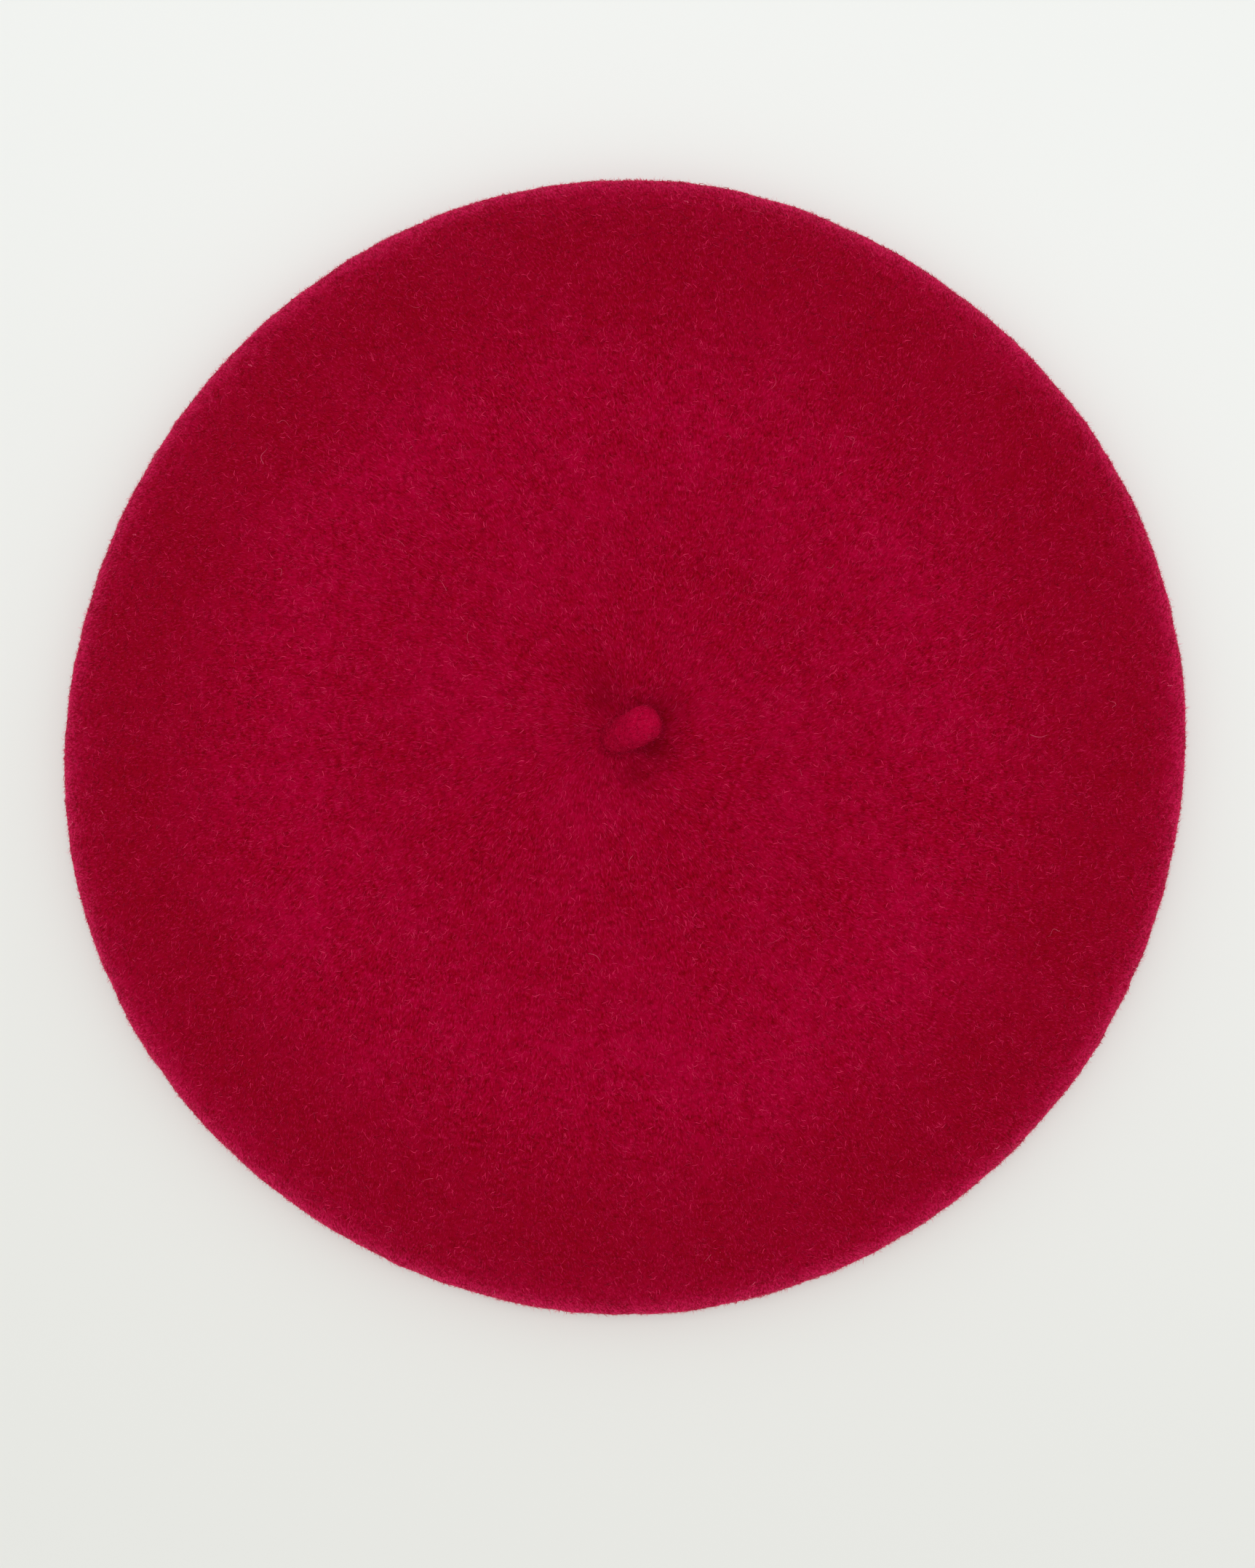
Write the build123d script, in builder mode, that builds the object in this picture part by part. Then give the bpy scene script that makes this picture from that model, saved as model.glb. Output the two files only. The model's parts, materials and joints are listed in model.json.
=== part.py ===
"""A felted wool beret that lies on its underside.

Millimetres. +Z is up, and -Y is the back, where the sweatband's seam is. The origin is under the
middle of the crown, on the surface that the beret lies on.
"""

import os
from math import cos, degrees, pi, radians, sin, sqrt

from build123d import *

# Crown: one knitted and felted shell. It runs from the hole under the stalk over the top, round the
# rim, back along the underside, and turns up into a margin round the head opening.
beret_diameter = 290.0
felt_thickness = 2.4
rim_height = 9.5  # from the table to the outermost line of the rim
rim_heel = 15.0  # from the outermost line in to where the underside lies flat
rim_hold = 8.0  # how far the rim rises upright before it leans in
ridge_height = 31.0  # from the table to the ring that the margin raises in the top
ridge_hold = 18.0  # how far the top stays level outside that ring before it falls to the rim
plateau_sag = 0.8  # how far the top sinks inside that ring
margin_bend = 1.6  # inner radius of the turn from the underside up into the margin
margin_gap = 1.2  # from the margin's cut edge up to the felt over it

# Dimple in the middle of the top, and the cup in its floor that the stalk stands in
dimple_radius = 19.0
dimple_lip_hold = 7.0  # how far the lip stays level before it falls into the dimple
dimple_floor_hold = 4.5  # how far the floor runs out before it climbs
cup_seat_width = 0.3  # of the seat, from the hole in it out to its mouth
cup_floor = 1.8  # felt under the cup

# Stalk: a stubby felted nub on a round root
stalk_root_radius = 3.8
stalk_tip_radius = 4.7
stalk_length = 9.8  # from the middle of the root to the middle of the round tip
stalk_lean = 40.0  # from upright
stalk_azimuth = 26.0  # the way it leans, from +X towards +Y
stalk_depth = 0.6  # from the felt round the dimple down to the middle of the root
stalk_clearance = 0.3

# Stalk's tail: drawn through the crown, flattened into a flange inside it and tacked down
tail_radius = 2.0
tail_clearance = 0.1
flange_radius = 5.6
flange_thickness = 1.0
tack_count = 8
tack_thread_diameter = 0.4
tack_inset = 1.2  # from the flange's edge in to the stitch's inner leg
tack_reach = 0.5  # from the flange's edge out to the stitch's outer leg
tack_slack = 0.15  # between the stitch and the flange's underside

# Sweatband: a ribbon round the head opening, sewn to the margin along both its edges
band_radius = 80.0  # to the ribbon's inner face
ribbon_thickness = 0.8
ribbon_width = 18.0
ribbon_edge_radius = 0.3
ribbon_lift = 0.2  # from the end of the margin's turn up to the ribbon's lower edge
ribbon_end_gap = 0.5  # between the ribbon's two ends, which meet at the back

# Elastic tape in a channel between the ribbon and the margin
elastic_width = 7.0
elastic_thickness = 0.7
elastic_play = 0.2  # above, below and behind the tape in its channel
elastic_slack = 0.1  # between the tape and the ribbon
elastic_end_gap = 0.6  # between the tape's two ends, which are sewn together

# Sewing thread, of which half stands proud of what it holds
thread_radius = 0.2
row_inset = 2.0  # from the ribbon's edge to its row of stitches
row_pitch = 4.0
row_stitch_length = 3.0
seam_stitch_count = 6
seam_stitch_length = 3.2

# Finer thread, for the elastic's ends and the label
fine_thread_radius = 0.08
elastic_stitch_count = 3
elastic_stitch_length = 4.0
label_stitch_count = 4
label_stitch_length = 1.6

# Woven label, blank, sewn to the ribbon at both its ends
label_width = 24.0
label_thickness = 0.12
label_margin = 1.2  # from each row of stitches to the label
label_offset = 32.0  # along the ribbon from the seam to the middle of the label
label_hem = 1.6  # from the label's end in to its stitches

# Places that follow
back_angle = -90.0
rim_radius = beret_diameter / 2
margin_radius = band_radius + ribbon_thickness
turn_radius = margin_bend + felt_thickness
ridge_radius = margin_radius + felt_thickness / 2
margin_top = ridge_height - felt_thickness - margin_gap
plateau_height = ridge_height - plateau_sag

pivot_height = plateau_height - stalk_depth
cup_radius = stalk_root_radius + stalk_clearance
hole_radius = tail_radius + tail_clearance
cup_mouth_radius = hole_radius + cup_seat_width
cup_mouth_height = pivot_height - sqrt(cup_radius**2 - cup_mouth_radius**2)
hole_top = pivot_height - sqrt(cup_radius**2 - hole_radius**2)
middle_underside = pivot_height - cup_radius - cup_floor
flange_underside = middle_underside - flange_thickness
tack_radius = flange_radius + tack_reach
middle_radius = tack_radius + tack_thread_diameter

ribbon_bottom = turn_radius + ribbon_lift
ribbon_top = ribbon_bottom + ribbon_width
ribbon_middle = (ribbon_bottom + ribbon_top) / 2
lower_row = ribbon_bottom + row_inset
upper_row = ribbon_top - row_inset
elastic_radius = margin_radius + elastic_slack + elastic_thickness
channel_radius = elastic_radius + elastic_play
channel_half_width = elastic_width / 2 + elastic_play
label_height = upper_row - lower_row - 2 * label_margin
label_radius = band_radius - label_thickness


def turn_of(length, radius):
    """The angle, in degrees, of a length laid along a circle."""
    return degrees(length / radius)


def upright_plane(angle):
    """The plane through the Z axis whose X runs outwards at an angle and whose Y runs up."""
    radial = Vector(cos(radians(angle)), sin(radians(angle)), 0)
    return Plane(origin=(0, 0, 0), x_dir=radial, z_dir=radial.cross(Vector(0, 0, 1)))


def felt_side(inset):
    """Draw one side of the felt from the dimple's lip out, round the rim and in to the margin."""
    half_way = (dimple_radius + ridge_radius) / 2
    plateau = plateau_height - inset
    ridge = ridge_height - inset
    rim = rim_radius - inset
    flat_radius = rim_radius - rim_heel
    turn_centre = (margin_radius + turn_radius, turn_radius)
    Bezier((dimple_radius, plateau), (half_way, plateau), (half_way, ridge), (ridge_radius, ridge))
    Bezier(
        (ridge_radius, ridge),
        (ridge_radius + ridge_hold, ridge),
        (rim, rim_height + rim_hold),
        (rim, rim_height),
    )
    EllipticalCenterArc(
        (flat_radius, rim_height), rim_heel - inset, rim_height - inset, -90, arc_size=90
    )
    Line((flat_radius, inset), (turn_centre[0], inset))
    CenterArc(turn_centre, turn_radius - inset, 180, 90)


os.makedirs("parts", exist_ok=True)

# Crown, revolved from its section
with BuildPart() as crown:
    with BuildSketch(Plane.XZ):
        with BuildLine():
            felt_side(0)
            # the dimple and the cup
            Bezier(
                (cup_mouth_radius, cup_mouth_height),
                (cup_mouth_radius + dimple_floor_hold, cup_mouth_height),
                (dimple_radius - dimple_lip_hold, plateau_height),
                (dimple_radius, plateau_height),
            )
            RadiusArc((hole_radius, hole_top), (cup_mouth_radius, cup_mouth_height), -cup_radius)
            # the hole, and the thick middle round it
            Polyline(
                (hole_radius, hole_top),
                (hole_radius, middle_underside),
                (middle_radius, middle_underside),
            )
            Bezier(
                (middle_radius, middle_underside),
                (middle_radius + dimple_floor_hold, middle_underside),
                (dimple_radius - dimple_lip_hold, plateau_height - felt_thickness),
                (dimple_radius, plateau_height - felt_thickness),
            )
            felt_side(felt_thickness)
            # the margin, with the elastic's channel in the face behind the ribbon
            Polyline(
                (margin_radius, turn_radius),
                (margin_radius, ribbon_middle - channel_half_width),
                (channel_radius, ribbon_middle - channel_half_width),
                (channel_radius, ribbon_middle + channel_half_width),
                (margin_radius, ribbon_middle + channel_half_width),
                (margin_radius, margin_top),
                (margin_radius + felt_thickness, margin_top),
                (margin_radius + felt_thickness, turn_radius),
            )
        make_face()
    revolve(axis=Axis.Z)

# Stalk, revolved about the axis that leans
pivot = Vector(0, 0, pivot_height)
lean_azimuth = radians(stalk_azimuth)
lean_angle = radians(stalk_lean)
across_lean = Vector(-sin(lean_azimuth), cos(lean_azimuth), 0)
along_stalk = Vector(
    sin(lean_angle) * cos(lean_azimuth), sin(lean_angle) * sin(lean_azimuth), cos(lean_angle)
)
stalk_plane = Plane(origin=pivot, x_dir=along_stalk.cross(across_lean), z_dir=across_lean)

with BuildPart() as stalk:
    with BuildSketch(stalk_plane):
        with BuildLine():
            CenterArc((0, 0), stalk_root_radius, -90, 90)
            Line((stalk_root_radius, 0), (stalk_tip_radius, stalk_length))
            CenterArc((0, stalk_length), stalk_tip_radius, 0, 90)
            Line((0, stalk_length + stalk_tip_radius), (0, -stalk_root_radius))
        make_face()
    revolve(axis=Axis(pivot, along_stalk))

# Stalk's tail: a neck in the crown's hole with a flange under it, hollowed to fit the stalk's root
with BuildPart() as stalk_tail:
    with BuildSketch(Plane.XY.offset(flange_underside)):
        Circle(flange_radius)
    extrude(amount=flange_thickness)
    fillet(stalk_tail.edges().sort_by(Axis.Z).first, flange_thickness / 2)
    with BuildSketch(Plane.XY.offset(middle_underside)):
        Circle(tail_radius)
    extrude(amount=pivot_height - middle_underside)
    with Locations(pivot):
        Sphere(cup_radius, mode=Mode.SUBTRACT)

# Tack stitches: each a loop of thread from the flange over its edge and up into the crown
with BuildPart() as tack:
    with BuildLine(Plane.XZ) as tack_path:
        inner_leg = flange_radius - tack_inset
        bar_height = flange_underside - tack_slack - tack_thread_diameter / 2
        FilletPolyline(
            (inner_leg, flange_underside),
            (inner_leg, bar_height),
            (tack_radius, bar_height),
            (tack_radius, middle_underside),
            radius=0.8 * (flange_underside - bar_height),
        )
    with BuildSketch(Plane(origin=tack_path.line @ 0, z_dir=tack_path.line % 0)):
        Circle(tack_thread_diameter / 2)
    sweep()

with BuildPart() as stalk_tacks:
    with PolarLocations(0, tack_count):
        add(tack.part)

# Sweatband ribbon, open at the back where its two ends meet
ribbon_gap_turn = turn_of(ribbon_end_gap, band_radius)

with BuildPart() as sweatband:
    with BuildSketch(upright_plane(back_angle + ribbon_gap_turn / 2)):
        with Locations((band_radius + ribbon_thickness / 2, ribbon_middle)):
            RectangleRounded(ribbon_thickness, ribbon_width, ribbon_edge_radius)
    revolve(axis=Axis.Z, revolution_arc=360 - ribbon_gap_turn)

# Elastic tape in its channel, with its two ends sewn together over a small gap at the back
elastic_gap_turn = turn_of(elastic_end_gap, elastic_radius)

with BuildPart() as elastic_tape:
    with BuildSketch(upright_plane(back_angle + elastic_gap_turn / 2)):
        with Locations((elastic_radius - elastic_thickness / 2, ribbon_middle)):
            Rectangle(elastic_thickness, elastic_width)
    revolve(axis=Axis.Z, revolution_arc=360 - elastic_gap_turn)


# Stitches, half round, each laid first with its middle on the X axis
inwards = 90
outwards = -90


def half_round(face_radius, thread, side):
    """Draw a thread's half-round section, proud of a round face on the side given."""
    CenterArc((face_radius, 0), thread, side, 180)
    Line((face_radius, thread), (face_radius, -thread))


def level_stitch(face_radius, thread, length, side):
    """A stitch laid along a round face at one height."""
    with BuildPart() as laid_stitch:
        with BuildSketch(upright_plane(-turn_of(length, face_radius) / 2)):
            with BuildLine():
                half_round(face_radius, thread, side)
            make_face()
        revolve(axis=Axis.Z, revolution_arc=turn_of(length, face_radius))
    return laid_stitch.part


def stack(middle, pitch, count):
    """Places up the Z axis at an even pitch about a middle height."""
    return [(0, 0, middle + pitch * (step - (count - 1) / 2)) for step in range(count)]


# Two rows of stitches that sew the ribbon to the margin, left out where the seam is
row_turn = 360 - turn_of(seam_stitch_length + row_pitch, band_radius)
row_count = round(2 * pi * band_radius * row_turn / 360 / row_pitch)
row_stitch = level_stitch(band_radius, thread_radius, row_stitch_length, inwards)

with BuildPart() as sweatband_stitches:
    with Locations((0, 0, lower_row), (0, 0, upper_row)):
        with PolarLocations(0, row_count, back_angle + (360 - row_turn) / 2, row_turn, endpoint=True):
            add(row_stitch)

# Stitches that close the ribbon's seam
seam_stitch = level_stitch(band_radius, thread_radius, seam_stitch_length, inwards)
seam_pitch = ribbon_width / seam_stitch_count

with BuildPart() as seam_stitches:
    with Locations(*stack(ribbon_middle, seam_pitch, seam_stitch_count)):
        with PolarLocations(0, 1, back_angle):
            add(seam_stitch)

# Stitches that join the elastic's ends, on its far side
elastic_stitch = level_stitch(
    elastic_radius, fine_thread_radius, elastic_stitch_length, outwards
)
elastic_stitch_pitch = elastic_width / elastic_stitch_count

with BuildPart() as elastic_stitches:
    with Locations(*stack(ribbon_middle, elastic_stitch_pitch, elastic_stitch_count)):
        with PolarLocations(0, 1, back_angle):
            add(elastic_stitch)

# Label, curved to the ribbon
label_turn = turn_of(label_width, band_radius)
label_angle = back_angle + turn_of(label_offset, band_radius)

with BuildPart() as care_label:
    with BuildSketch(upright_plane(label_angle - label_turn / 2)):
        with Locations((band_radius - label_thickness / 2, ribbon_middle)):
            Rectangle(label_thickness, label_height)
    revolve(axis=Axis.Z, revolution_arc=label_turn)

# Upright stitches at the label's two ends
label_stitch_turn = turn_of(label_width - 2 * label_hem, band_radius)
label_stitch_pitch = label_height / label_stitch_count

with BuildPart() as upright_stitch:
    with BuildSketch(Plane.XY.offset(-label_stitch_length / 2)):
        with BuildLine():
            half_round(label_radius, fine_thread_radius, inwards)
        make_face()
    extrude(amount=label_stitch_length)

with BuildPart() as label_stitches:
    with Locations(*stack(ribbon_middle, label_stitch_pitch, label_stitch_count)):
        with PolarLocations(
            0, 2, label_angle - label_stitch_turn / 2, label_stitch_turn, endpoint=True
        ):
            add(upright_stitch.part)

pieces = {
    "crown": crown,
    "stalk": stalk,
    "stalk_tail": stalk_tail,
    "stalk_tacks": stalk_tacks,
    "sweatband": sweatband,
    "sweatband_stitches": sweatband_stitches,
    "seam_stitches": seam_stitches,
    "elastic_tape": elastic_tape,
    "elastic_stitches": elastic_stitches,
    "care_label": care_label,
    "label_stitches": label_stitches,
}
for name, piece in pieces.items():
    piece.part.label = name
    export_step(piece.part, f"parts/{name}.step")
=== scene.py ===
import json
import math
import random

import bmesh
import bpy
from mathutils import Matrix, Vector, noise

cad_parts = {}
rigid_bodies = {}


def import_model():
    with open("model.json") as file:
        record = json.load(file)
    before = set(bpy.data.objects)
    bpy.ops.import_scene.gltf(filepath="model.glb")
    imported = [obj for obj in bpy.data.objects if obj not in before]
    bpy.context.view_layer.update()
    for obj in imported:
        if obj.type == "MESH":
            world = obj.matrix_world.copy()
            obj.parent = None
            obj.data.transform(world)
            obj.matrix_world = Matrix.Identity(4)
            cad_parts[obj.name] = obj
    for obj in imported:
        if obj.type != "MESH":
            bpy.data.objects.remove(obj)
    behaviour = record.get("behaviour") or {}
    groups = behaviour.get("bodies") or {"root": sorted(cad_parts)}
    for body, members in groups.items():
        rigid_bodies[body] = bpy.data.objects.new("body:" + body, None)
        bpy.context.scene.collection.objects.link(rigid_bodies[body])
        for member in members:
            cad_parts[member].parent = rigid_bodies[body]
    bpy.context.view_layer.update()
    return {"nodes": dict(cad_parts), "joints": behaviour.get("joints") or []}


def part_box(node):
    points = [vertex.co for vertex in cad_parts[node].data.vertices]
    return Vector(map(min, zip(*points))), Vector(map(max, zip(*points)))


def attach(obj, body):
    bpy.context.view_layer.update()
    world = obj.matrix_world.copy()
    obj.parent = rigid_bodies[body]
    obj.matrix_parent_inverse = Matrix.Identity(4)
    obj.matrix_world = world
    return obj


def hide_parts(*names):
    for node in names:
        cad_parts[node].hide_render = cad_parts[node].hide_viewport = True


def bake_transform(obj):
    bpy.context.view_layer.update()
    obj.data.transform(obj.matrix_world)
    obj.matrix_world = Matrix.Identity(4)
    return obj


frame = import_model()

mm = 0.001
pivot = Vector(frame["joints"][0]["pos_m"])
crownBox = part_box("crown")
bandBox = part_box("sweatband")
bandFace = 80 * mm                 # the radius of the ribbon's inner face
labelFace = bandFace - 0.12 * mm
stalkRun = 20 * mm                 # where the length along the stalk starts to count
print("model loaded; crown reaches", round(crownBox[1].x / mm, 1), "mm from the middle")


def paint(red, green, blue):
    # a colour as a picture editor shows it, made linear
    def linear(level):
        level = level / 255
        return level / 12.92 if level <= 0.04045 else ((level + 0.055) / 1.055) ** 2.4

    return (linear(red), linear(green), linear(blue), 1.0)


class Wire:
    # an output socket, on which Python's own sums add Math nodes
    def __init__(self, graph, socket):
        self.graph = graph
        self.socket = socket

    def math(self, operation, *values):
        return self.graph.node("ShaderNodeMath", {"operation": operation}, dict(enumerate(values)))

    def __add__(self, other):
        return self.math("ADD", self, other)

    def __sub__(self, other):
        return self.math("SUBTRACT", self, other)

    def __rsub__(self, other):
        return self.math("SUBTRACT", other, self)

    def __mul__(self, other):
        return self.math("MULTIPLY", self, other)

    def __truediv__(self, other):
        return self.math("DIVIDE", self, other)

    def __rtruediv__(self, other):
        return self.math("DIVIDE", other, self)

    def __neg__(self):
        return self.math("MULTIPLY", self, -1)

    def __abs__(self):
        return self.math("ABSOLUTE", self)

    __radd__ = __add__
    __rmul__ = __mul__

    def rise(self, low, high, start=0.0, end=1.0):
        # a soft step, from start at low to end at high
        settings = {"interpolation_type": "SMOOTHSTEP"}
        return self.graph.node("ShaderNodeMapRange", settings,
                               {0: self, 1: low, 2: high, 3: start, 4: end})


class Graph:
    # a node tree, of a material or of a piece's geometry
    def __init__(self, tree):
        self.tree = tree
        tree.nodes.clear()

    def node(self, kind, settings=None, inputs=None, output=0):
        made = self.tree.nodes.new(kind)
        for setting, value in (settings or {}).items():
            setattr(made, setting, value)
        for socket, value in (inputs or {}).items():
            if isinstance(value, Wire):
                self.tree.links.new(value.socket, made.inputs[socket])
            else:
                made.inputs[socket].default_value = value
        return None if output is None else Wire(self, made.outputs[output])

    def vector(self, operation, *values, output=0):
        settings = {"operation": operation}
        return self.node("ShaderNodeVectorMath", settings, dict(enumerate(values)), output)

    def scaled(self, vector, factor):
        return self.node("ShaderNodeVectorMath", {"operation": "SCALE"}, {0: vector, 3: factor})

    def part(self, vector, axis):
        return self.node("ShaderNodeSeparateXYZ", None, {0: vector}, axis)

    def bearing(self, place):
        # the angle round Z, from +X towards +Y
        inputs = {0: self.part(place, "Y"), 1: self.part(place, "X")}
        return self.node("ShaderNodeMath", {"operation": "ARCTAN2"}, inputs)

    def joined(self, x, y, z=0.0):
        return self.node("ShaderNodeCombineXYZ", None, {0: x, 1: y, 2: z})

    def grain(self, place, size, detail=2.0, roughness=0.5, flat=False):
        settings = {"noise_dimensions": "2D" if flat else "3D"}
        inputs = {"Vector": place, "Scale": 1 / size, "Detail": detail, "Roughness": roughness}
        return self.node("ShaderNodeTexNoise", settings, inputs)


class Finish(Graph):
    # a material
    def __init__(self, name):
        self.material = bpy.data.materials.new(name)
        self.material.use_nodes = True
        super().__init__(self.material.node_tree)

    def place(self):
        return self.node("ShaderNodeTexCoord", None, None, "Object")

    def attribute(self, name, output="Fac"):
        return self.node("ShaderNodeAttribute", {"attribute_name": name}, None, output)

    def mixed(self, factor, first, second):
        return self.node("ShaderNodeMix", {"data_type": "RGBA"}, {0: factor, 6: first, 7: second}, 2)

    def bump(self, height, distance):
        return self.node("ShaderNodeBump", None, {"Height": height, "Distance": distance})

    def surface(self, **inputs):
        names = {name.replace("_", " "): value for name, value in inputs.items()}
        shader = self.node("ShaderNodeBsdfPrincipled", None, names)
        self.node("ShaderNodeOutputMaterial", None, {"Surface": shader}, None)
        return self.material


def ease(value, low, high):
    share = min(1.0, max(0.0, (value - low) / (high - low)))
    return share * share * (3 - 2 * share)


def curveThrough(start, first, second, end, count):
    # points along a Bezier curve, without its last one
    points = []
    for step in range(count):
        t = step / count
        s = 1 - t
        points.append(Vector(start) * s**3 + Vector(first) * 3 * s * s * t
                      + Vector(second) * 3 * s * t * t + Vector(end) * t**3)
    return points


def arcRound(centre, across, up, startAngle, endAngle, count):
    points = []
    for step in range(count):
        angle = math.radians(startAngle + (endAngle - startAngle) * step / count)
        points.append(Vector((centre[0] + across * math.cos(angle), centre[1] + up * math.sin(angle))))
    return points


def straight(start, end, count):
    return [Vector(start).lerp(Vector(end), step / count) for step in range(count)]


def turned(profile, steps, layers=None, start=0.0, angle=math.tau):
    # a line of radius and height points, carried round Z; each layer holds a number per point. It starts as
    # a grid, whose faces come in the same order in every run, since the fibres' places hang on that
    bm = bmesh.new()
    made = {name: bm.verts.layers.float.new(name) for name in (layers or {})}
    last = len(profile) - 1
    bmesh.ops.create_grid(bm, x_segments=steps, y_segments=last, size=0.5)
    for vertex in bm.verts:
        point = round((vertex.co.y + 0.5) * last)
        turn = start + angle * round((vertex.co.x + 0.5) * steps) / steps
        radius, height = profile[point]
        vertex.co = (radius * math.cos(turn), radius * math.sin(turn), height)
        for name, layer in made.items():
            vertex[layer] = layers[name][point]
    bmesh.ops.remove_doubles(bm, verts=bm.verts, dist=0.004 * mm)
    bmesh.ops.recalc_face_normals(bm, faces=bm.faces)
    return bm


def finished(bm, name, material):
    mesh = bpy.data.meshes.new(name)
    bm.to_mesh(mesh)
    bm.free()
    mesh.shade_smooth()
    mesh.materials.append(material)
    piece = bpy.data.objects.new(name, mesh)
    bpy.context.scene.collection.objects.link(piece)
    return piece


# The felt's colour and relief. The nap runs outwards from the stalk, in gores that each lean their own way
felt = {
    "pit": paint(111, 0, 10),
    "deep": paint(132, 0, 18),
    "body": paint(149, 0, 32),
    "light": paint(163, 0, 48),
    "pale": paint(188, 24, 75),
    # rim: a painted highlight, the pink glow of the fluff along the rim
    "rim": paint(234, 34, 102),
    "gores": 24,
    "swirl": 12.0,             # degrees from straight outwards
    "wander": 26.0,            # degrees between one gore and the next
    "dashLength": 1.3 * mm,
    "dashWidth": 0.5 * mm,
    "fleckLength": 0.8 * mm,
    "fleckWidth": 0.25 * mm,
    "gritSize": 0.45 * mm,
    "pitSize": 1.1 * mm,
    "ribPitch": 1.3 * mm,
    "patch": 24 * mm,
    "patchShift": (0.31, 0.17, 0.0),
    "relief": 0.24 * mm,
    "sheen": 1.0,              # the loose wool that catches the light at a slant
    "sheenSpread": 0.3,
    "sheenTint": (1.0, 0.12, 0.24, 1.0),
    "mottle": 3.2 * mm,
    # painted shade and wear: how dark each zone is, and between which lengths along the cloth it ends or
    # sets in
    "middleDark": (57 * mm, 84 * mm, 0.17, 0.0),
    # the slope falls away from the light: painted shade
    "slopeShade": (86 * mm, 121 * mm, 0.0, 0.58),
    # the rim: partly wear and partly a painted highlight
    "rimSheenAndWear": (132 * mm, 145 * mm, 0.0, 0.54),
    # where the painted rim glow lies, along the cloth and in height
    "glowRun": (139 * mm, 151 * mm),
    "glowHeight": (4.5 * mm, 10.5 * mm),
}


def shadeAndWear(run):
    # the middle a little darker, the slope between ridge and rim darker with painted shade, and the rim
    # lighter, partly worn and partly a painted highlight
    return run.rise(*felt["middleDark"]) + run.rise(*felt["slopeShade"]) - run.rise(*felt["rimSheenAndWear"])


def rimGlowAndFluff(run, height):
    # painted highlight: the pink glow along the felt's widest line, partly pale thinned-out fluff
    fluff = run.rise(*felt["glowRun"])
    return fluff * fluff * height.rise(*felt["glowHeight"])


def mottling(graph, place):
    return graph.grain(place, felt["mottle"], 3.0, 0.85) - 0.5


def alongNap(finish, cloth, shift):
    # the cloth laid flat and turned, gore by gore, so that X runs with the nap
    count = felt["gores"]
    gores = finish.bearing(cloth) * (count / math.tau) + shift
    gore = gores.math("FLOOR", gores)
    own = finish.node("ShaderNodeTexWhiteNoise", {"noise_dimensions": "1D"},
                      {"W": gore.math("FLOORED_MODULO", gore, count) + shift})
    turn = (gore + (0.5 - shift)) * (math.tau / count) + math.radians(felt["swirl"])
    turn = turn + (own - 0.5) * math.radians(felt["wander"])
    laid = finish.node("ShaderNodeVectorRotate", {"rotation_type": "Z_AXIS"},
                       {"Vector": cloth, "Angle": -turn})
    weight = abs(gores.math("FRACT", gores) - 0.5).rise(0.16, 0.34, 1.0, 0.0)
    return laid, weight


def feltFinish(name):
    finish = Finish(name)
    where = finish.place()
    spoke = finish.vector("NORMALIZE", finish.vector("MULTIPLY", where, (1, 1, 0)))
    run = finish.attribute("napRun")
    cloth = finish.scaled(spoke, run)
    first, weight = alongNap(finish, cloth, 0.0)
    second, _ = alongNap(finish, cloth, 0.5)

    def crossed(make):
        return make(second) * (1 - weight) + make(first) * weight

    def streaks(length, width, detail):
        def make(laid):
            stretched = finish.vector("MULTIPLY", laid, (width / length, 1, 1))
            return finish.grain(stretched, width, detail, 0.55, flat=True)
        return crossed(make)

    def ribs(laid):
        across = finish.part(laid, "Y") * (math.tau / felt["ribPitch"])
        return across.math("SINE", across)

    dashes = streaks(felt["dashLength"], felt["dashWidth"], 1.5)
    flecks = streaks(felt["fleckLength"], felt["fleckWidth"], 1.0)
    patches = finish.grain(finish.vector("ADD", where, felt["patchShift"]), felt["patch"], 3.0, 0.6)
    clumps = mottling(finish, where)
    ribbing = crossed(ribs) * patches.rise(0.45, 0.6)
    grit = finish.grain(where, felt["gritSize"], 2.0, 0.6)
    pits = finish.grain(where, felt["pitSize"], 1.0, 0.4)
    colour = finish.mixed((dashes * 0.7 + grit * 0.3).rise(0.34, 0.56), felt["deep"], felt["body"])
    colour = finish.mixed((pits * 0.65 + dashes * 0.35).rise(0.36, 0.47, 0.8, 0.0), colour, felt["pit"])
    lift = dashes.rise(0.5, 0.72) * 0.5 + clumps * 2.0 + (patches - 0.5) * 1.3
    colour = finish.mixed(lift.rise(-0.4, 0.75), colour, felt["light"])
    # painted shade on the slope, and the rim lightened partly by wear and partly as a painted highlight
    colour = finish.mixed(shadeAndWear(run), colour, felt["deep"])
    colour = finish.mixed((flecks * 0.55 + dashes * 0.45).rise(0.54, 0.7) * 0.5, colour, felt["pale"])
    # painted shade in the dimple's creases
    colour = finish.mixed(finish.attribute("hollow") * 0.6, colour, felt["pit"])
    # painted highlight: the rim's pink glow, mottled like the nap
    fluff = dashes.rise(0.36, 0.64, 0.22, 0.88) + clumps * 0.9
    colour = finish.mixed(rimGlowAndFluff(run, finish.part(where, "Z")) * fluff, colour, felt["rim"])
    height = dashes * 0.35 + flecks * 0.2 + grit * 0.1 + pits * 0.4 + clumps * 0.6 + ribbing * 0.05
    return finish.surface(
        Base_Color=colour,
        Roughness=0.95,
        Specular_IOR_Level=0.03,
        Sheen_Weight=felt["sheen"],
        Sheen_Roughness=felt["sheenSpread"],
        Sheen_Tint=felt["sheenTint"],
        Normal=finish.bump(height, felt["relief"]),
    )


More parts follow.
